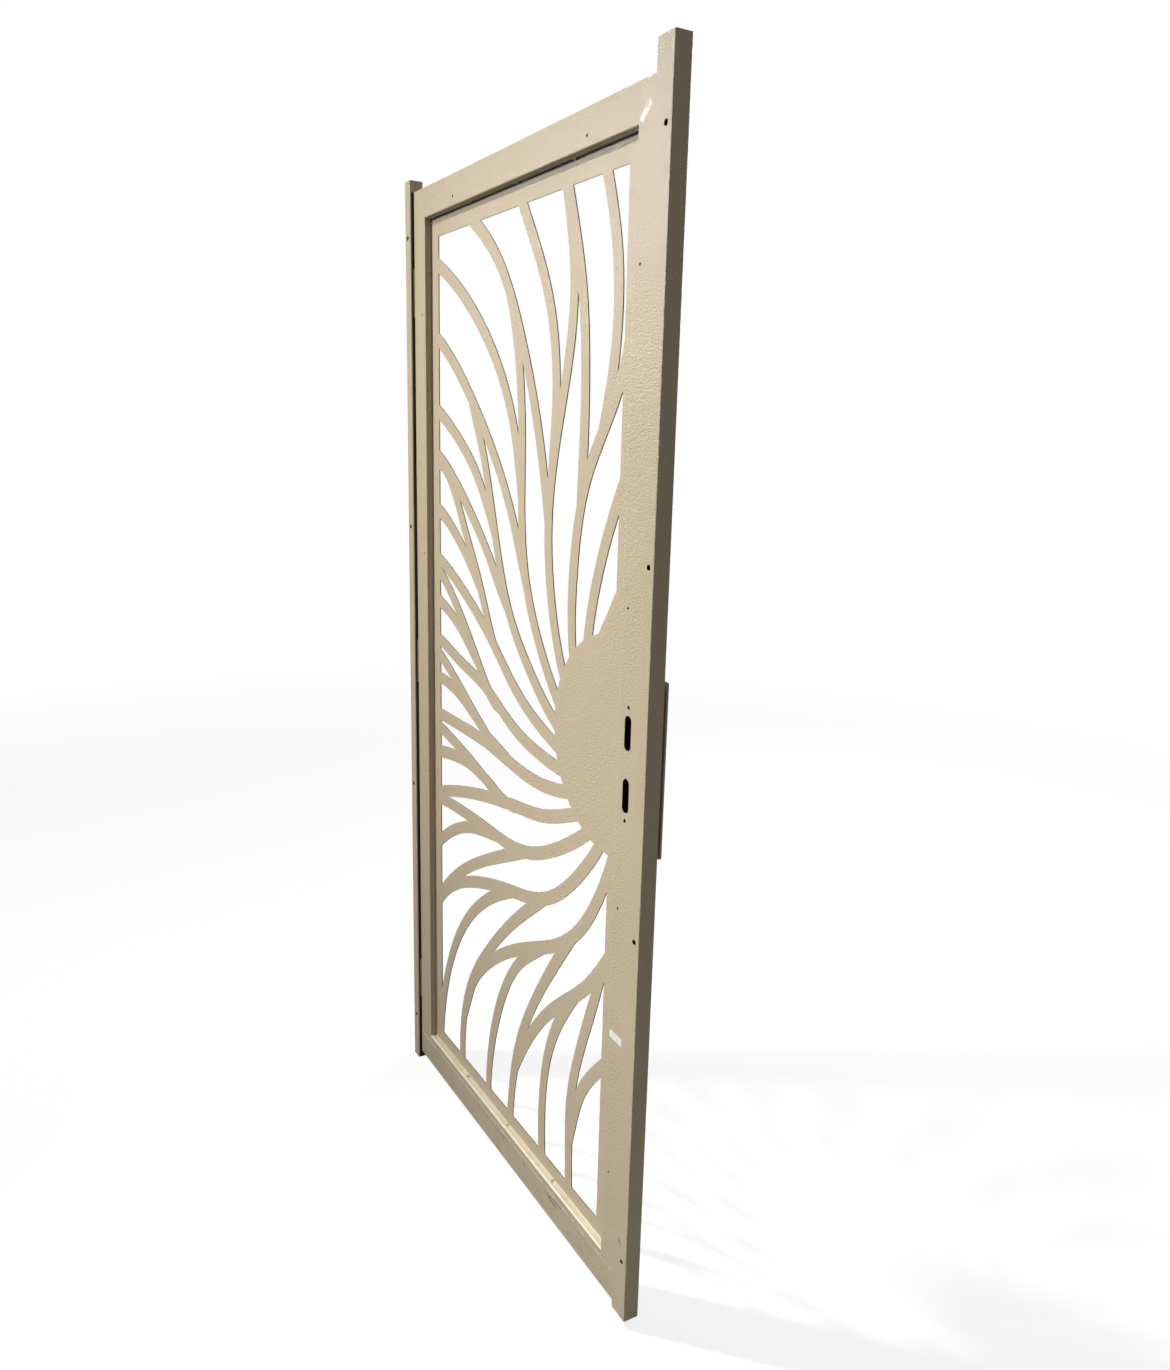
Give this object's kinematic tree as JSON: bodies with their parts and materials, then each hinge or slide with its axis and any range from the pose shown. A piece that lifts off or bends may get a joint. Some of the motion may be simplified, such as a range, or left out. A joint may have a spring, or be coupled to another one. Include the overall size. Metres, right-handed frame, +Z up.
{
  "type": "steel security screen door",
  "caption": "Outward-swinging steel security screen door: a tube-framed leaf with a laser-cut sunburst panel, hung by butt hinges between two wall-mounted jambs.",
  "frame": {"origin": "on the hinge jamb's bearing face, on its centre line, level with the leaf's bottom edge", "axes": "+X from the hinge jamb to the strike jamb, +Y from the inside to the outside (the leaf opens towards +Y), +Z up"},
  "size_m": [1.004, 0.05, 2.09],
  "materials": {
    "almond_powder_coat": "satin powder coat with a fine orange peel",
    "hinge_steel": "plain bright steel"
  },
  "bodies": {
    "jambs": {"hinge_jamb": "almond_powder_coat", "strike_jamb": "almond_powder_coat", "strike_stop": "almond_powder_coat", "upper_hinge_jamb_plate": "almond_powder_coat", "upper_hinge_pin": "hinge_steel", "middle_hinge_jamb_plate": "almond_powder_coat", "middle_hinge_pin": "hinge_steel", "lower_hinge_jamb_plate": "almond_powder_coat", "lower_hinge_pin": "hinge_steel"},
    "leaf": {"hinge_stile": "almond_powder_coat", "lock_stile": "almond_powder_coat", "top_rail": "almond_powder_coat", "bottom_rail": "almond_powder_coat", "sunburst_panel": "almond_powder_coat", "top_flange": "almond_powder_coat", "bottom_flange": "almond_powder_coat", "hinge_side_flange": "almond_powder_coat", "lock_side_flange": "almond_powder_coat", "latch_guard": "almond_powder_coat", "upper_hinge_leaf_plate": "almond_powder_coat", "middle_hinge_leaf_plate": "almond_powder_coat", "lower_hinge_leaf_plate": "almond_powder_coat"}
  },
  "joints": [
    {"name": "leaf_swing", "type": "hinge", "parent": "jambs", "child": "leaf", "pos_m": [0.0175, 0.044, 1.016], "axis": [0, 0, 1], "range_deg": [0, 170]}
  ]
}
